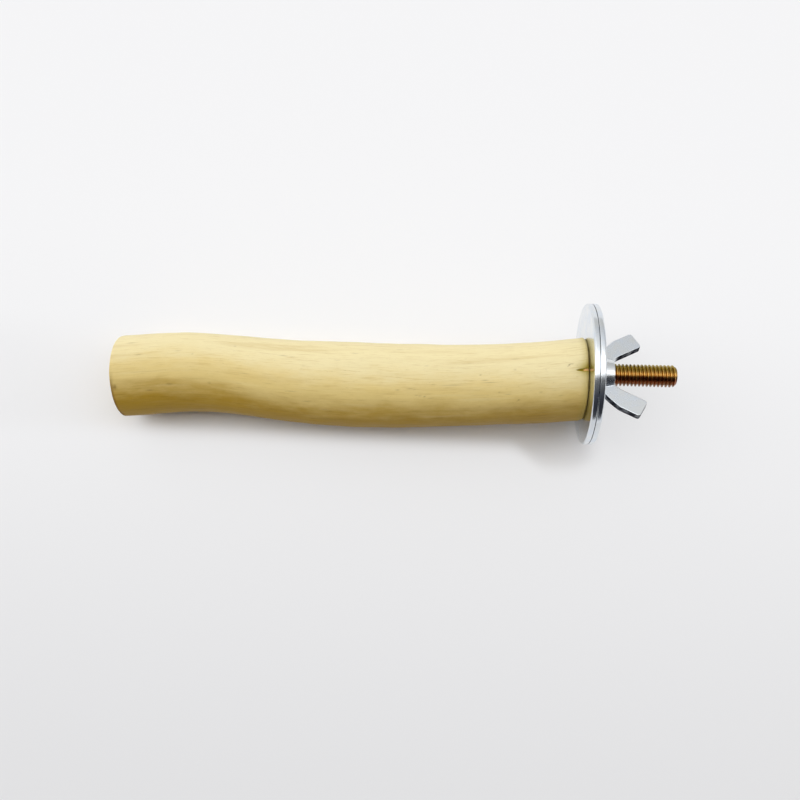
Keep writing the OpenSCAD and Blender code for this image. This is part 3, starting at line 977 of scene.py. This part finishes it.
# Places across the bolt between which each colour comes in, and what shifts them. Olive towards +Y is a
# painted sheen; maroon and brown towards -Y are painted shade
OLIVE_SIDE = (0.1 * MM, 1.5 * MM, 0.0, 0.95)
MAROON_SIDE = (-0.4 * MM, -1.6 * MM, 0.0, 0.9)
BROWN_EDGE = (-1.9 * MM, -2.9 * MM, 0.0, 0.8)
CHROMATE_PATCHES = (2.6 * MM, 1.6 * MM, 1.6 * MM)
CHROMATE_SHIFT = 3 * MM
THREAD_GROOVE_SHADE = (0.3, 0.95, 0.0, 0.5)
FINE_GRAIN = (0.3 * MM, 0.12 * MM, 0.12 * MM)
FINE_ROUGH = (0.3, 0.7, 0.18, 0.32)
FINE_RELIEF = 0.01 * MM


def bolt_material():
    """Yellow chromated zinc: gold that turns olive towards +Y, a painted sheen, and maroon and brown towards
    -Y, painted shade, shifted in patches, with painted shade down in the thread.
    """
    g = new_graph("yellow_zinc")
    place = g.place()
    patches = g.noise(place, CHROMATE_PATCHES, 3.0, 0.6)
    leaning = g.wavered(g.axis(place, "Y"), patches, CHROMATE_SHIFT)
    # Painted sheen towards +Y and painted shade towards -Y, laid by side
    colour = g.over(GOLD, OLIVE, leaning, *OLIVE_SIDE)
    colour = g.over(colour, MAROON, leaning, *MAROON_SIDE)
    colour = g.over(colour, BROWN, leaning, *BROWN_EDGE)
    # Painted shade down in the thread
    colour = g.over(colour, THREAD_SHADE, g.attribute("groove"), *THREAD_GROOVE_SHADE)
    fine = g.noise(place, FINE_GRAIN, 2.0)
    normal = g.bump(fine, FINE_RELIEF, 0.5)
    return g.surface(colour, g.span(fine, *FINE_ROUGH), normal, {"Metallic": 1.0})


# Stage: a pale floor under the perch, a bright window towards +Y and a dark room towards -Y

FLOOR_SIZE = 3.0
FLOOR_COLOUR = (0.92, 0.92, 0.93)
FLOOR_SHADED_COLOUR = (0.76, 0.76, 0.77)
BACKGROUND = (0.93, 0.93, 0.94)
BACKGROUND_SHADED = (0.74, 0.74, 0.75)
# Shade is painted on the floor: it is a little darker towards -Y, near the perch
DARKER_SIDE = (0.06, -0.16)
DARKER_NEAR = (0.6, 0.16)
# It turns into the plain background far away, and by this share beside the perch's shadow
FLOOR_FAR = (0.3, 0.9)
FLOOR_BESIDE = 0.65
# The shadow's edges towards -Y, +Y and +X, and its further reach beside the washers
SHADOW_FRONT = (-14.5 * MM, -21 * MM)
SHADOW_BACK = (6 * MM, 18 * MM)
SHADOW_TIP = (1 * MM, 9 * MM)
WASHERS_PLACE = -4 * MM
WASHERS_REACH = (15 * MM, 3 * MM, 0.0, 6 * MM)


def beside_shadow(g, place):
    """How far beside the perch's shadow a place on the floor is, from 0 to 1."""
    x, y = g.axis(place, "X"), g.axis(place, "Y")
    from_washers = g.math("ABSOLUTE", g.math("ADD", x, -WASHERS_PLACE))
    reach = g.math("ADD", y, g.span(from_washers, *WASHERS_REACH))
    return g.largest(g.span(reach, *SHADOW_FRONT), g.span(y, *SHADOW_BACK), g.span(x, *SHADOW_TIP))


def floor_material():
    g = new_graph("floor")
    g.tree.nodes.remove(g.tree.nodes["Principled BSDF"])
    place = g.place()
    away = g.add("ShaderNodeVectorMath", {0: place}, operation="LENGTH").outputs["Value"]
    # Painted shade: the floor and backdrop darker towards -Y, near the perch
    shade = g.math("MULTIPLY", g.span(g.axis(place, "Y"), *DARKER_SIDE), g.span(away, *DARKER_NEAR))
    colour = g.mix(shade, FLOOR_COLOUR, FLOOR_SHADED_COLOUR)
    diffuse = g.add("ShaderNodeBsdfDiffuse", {"Color": colour}).outputs["BSDF"]
    backdrop = g.mix(shade, BACKGROUND, BACKGROUND_SHADED)
    plain = g.add("ShaderNodeEmission", {"Color": backdrop}).outputs["Emission"]
    # Camera, glossy and transmission rays see the background, and the floor keeps the shadow
    beside = g.math("MULTIPLY", beside_shadow(g, place), FLOOR_BESIDE)
    path = g.add("ShaderNodeLightPath", {}).outputs
    looking = g.largest(path["Is Glossy Ray"], path["Is Transmission Ray"], path["Is Camera Ray"])
    share = g.math("MULTIPLY", g.largest(g.span(away, *FLOOR_FAR), beside), looking)
    seen = g.add("ShaderNodeMixShader", {0: share, 1: diffuse, 2: plain}).outputs["Shader"]
    # From below the floor is clear
    clear = g.add("ShaderNodeBsdfTransparent", {}).outputs["BSDF"]
    below = g.add("ShaderNodeNewGeometry", {}).outputs["Backfacing"]
    both = g.add("ShaderNodeMixShader", {0: below, 1: seen, 2: clear}).outputs["Shader"]
    g.set(g.tree.nodes["Material Output"].inputs["Surface"], both)
    return g.owner


def floor_tilt(branch):
    """The angle at which a plane through the inner washer's lowest point just touches the branch."""
    far_half = [v.co for v in branch.data.vertices if v.co.x < -BRANCH_LEN / 2]
    return math.atan(min((place.z + WASHER_R) / (BRANCH_X - place.x) for place in far_half))


def make_floor(branch):
    half = FLOOR_SIZE / 2
    tilt = floor_tilt(branch)
    up = Vector((math.sin(tilt), 0, math.cos(tilt)))
    drop = WASHER_R * math.cos(tilt) + WASHER_T * math.sin(tilt)
    corners = [(-half, -half, 0), (half, -half, 0), (half, half, 0), (-half, half, 0)]
    floor = mesh_object("floor", corners, [(0, 1, 2, 3)], [floor_material()], smooth=False)
    floor.matrix_world = Matrix.Translation(-drop * up) @ Matrix.Rotation(tilt, 4, "Y")


# The sky's brightness by its angle from the zenith, in degrees: positive towards +Y
SKY = [
    (-180, 0.10), (-92, 0.12), (-78, 0.04), (-60, 0.03), (-46, 0.055), (-32, 0.10), (-18, 0.15), (-8, 2.3),
    (14, 2.3), (22, 1.35), (34, 1.0), (44, 0.88), (56, 0.78), (66, 0.68), (85, 0.66), (180, 0.55),
]
# Below this brightness the sky is cooler
SKY_DARK = 0.1
SKY_DARK_TINT = (0.85, 0.9, 1.15)
# How much brighter the sky is towards -X
SKY_LEAN = 0.4
# The metal sees the plain background from this height of the direction down
HORIZON_HIGH = 0.02
HORIZON_LOW = 0.0


def fill_ramp(stops, peak):
    """Puts the sky's brightness, as a share of its peak, into a colour ramp."""
    while len(stops) < len(SKY):
        stops.new(0.5)
    for stop, (degrees, value) in zip(stops, SKY):
        stop.position = (degrees + 180) / 360
        tint = SKY_DARK_TINT if value < SKY_DARK else (1, 1, 1)
        stop.color = (*[value / peak * t for t in tint], 1)


def make_world():
    world = bpy.data.worlds.new("studio")
    bpy.context.scene.world = world
    g = Graph(world)
    g.tree.nodes.clear()
    direction = g.add("ShaderNodeTexCoord", {}).outputs["Generated"]
    height = g.axis(direction, "Z")
    angle = g.math("ARCTAN2", g.axis(direction, "Y"), height)
    share = g.add("ShaderNodeMapRange", {"Value": angle, "From Min": -math.pi, "From Max": math.pi})
    ramp = g.add("ShaderNodeValToRGB", {"Fac": share.outputs["Result"]})
    peak = max(value for _, value in SKY)
    fill_ramp(ramp.color_ramp.elements, peak)
    strength = g.math("MULTIPLY_ADD", g.axis(direction, "X"), -SKY_LEAN * peak, peak)
    room = g.add("ShaderNodeBackground", {"Color": ramp.outputs["Color"], "Strength": strength})
    plain = g.add("ShaderNodeBackground", {"Color": (*BACKGROUND, 1.0)})
    # Camera rays see the plain background, and glossy and transmission rays from the horizon down
    low = g.add("ShaderNodeMapRange", {"Value": height, "From Min": HORIZON_HIGH, "From Max": HORIZON_LOW})
    path = g.add("ShaderNodeLightPath", {}).outputs
    bounced = g.largest(path["Is Glossy Ray"], path["Is Transmission Ray"])
    banded = g.math("MULTIPLY", bounced, low.outputs["Result"])
    seen = g.largest(path["Is Camera Ray"], banded)
    both = g.add("ShaderNodeMixShader", {0: seen, 1: room.outputs[0], 2: plain.outputs[0]})
    g.add("ShaderNodeOutputWorld", {"Surface": both.outputs["Shader"]})


# Camera: above the branch, tilted over the bolt's line, turned and rolled as in the photograph
CAMERA_TILT = 11.1
CAMERA_PITCH = 4.2
CAMERA_ROLL = 1.64
CAMERA_PLACE = (-34.84 * MM, -50.62 * MM, 214.22 * MM)
SENSOR = 36.0


def make_camera():
    tilt, pitch, roll = (math.radians(v) for v in (CAMERA_TILT, CAMERA_PITCH, CAMERA_ROLL))
    back = Vector((math.sin(pitch), -math.sin(tilt) * math.cos(pitch), math.cos(tilt) * math.cos(pitch)))
    right = (Vector((1, 0, 0)) - back * back.x).normalized()
    up = back.cross(right)
    turned_right = right * math.cos(roll) + up * math.sin(roll)
    turned_up = up * math.cos(roll) - right * math.sin(roll)
    data = bpy.data.cameras.new("camera")
    data.sensor_width = SENSOR
    data.lens = SENSOR
    data.clip_start = 1 * MM
    camera = bpy.data.objects.new("camera", data)
    bpy.context.scene.collection.objects.link(camera)
    turned = Matrix((turned_right, turned_up, back)).transposed()
    camera.matrix_world = Matrix.Translation(CAMERA_PLACE) @ turned.to_4x4()
    bpy.context.scene.camera = camera


bpy.context.scene.view_settings.view_transform = "Standard"
make_camera()
make_world()
branch = make_branch(side_grain_material(), end_grain_material())
make_floor(branch)
make_bolt(bolt_material())
inner_zinc = zinc_material("inner_zinc", *INNER_FINISH)
outer_zinc = zinc_material("outer_zinc", *OUTER_FINISH)
make_washer("washer_inner", "inner_washer", -WASHER_T, INNER_ROUNDS, inner_zinc, 61)
make_washer("washer_outer", "outer_washer", 0.0, OUTER_ROUNDS, outer_zinc, 67)
make_nut(zinc_material("nut_zinc", *NUT_FINISH))
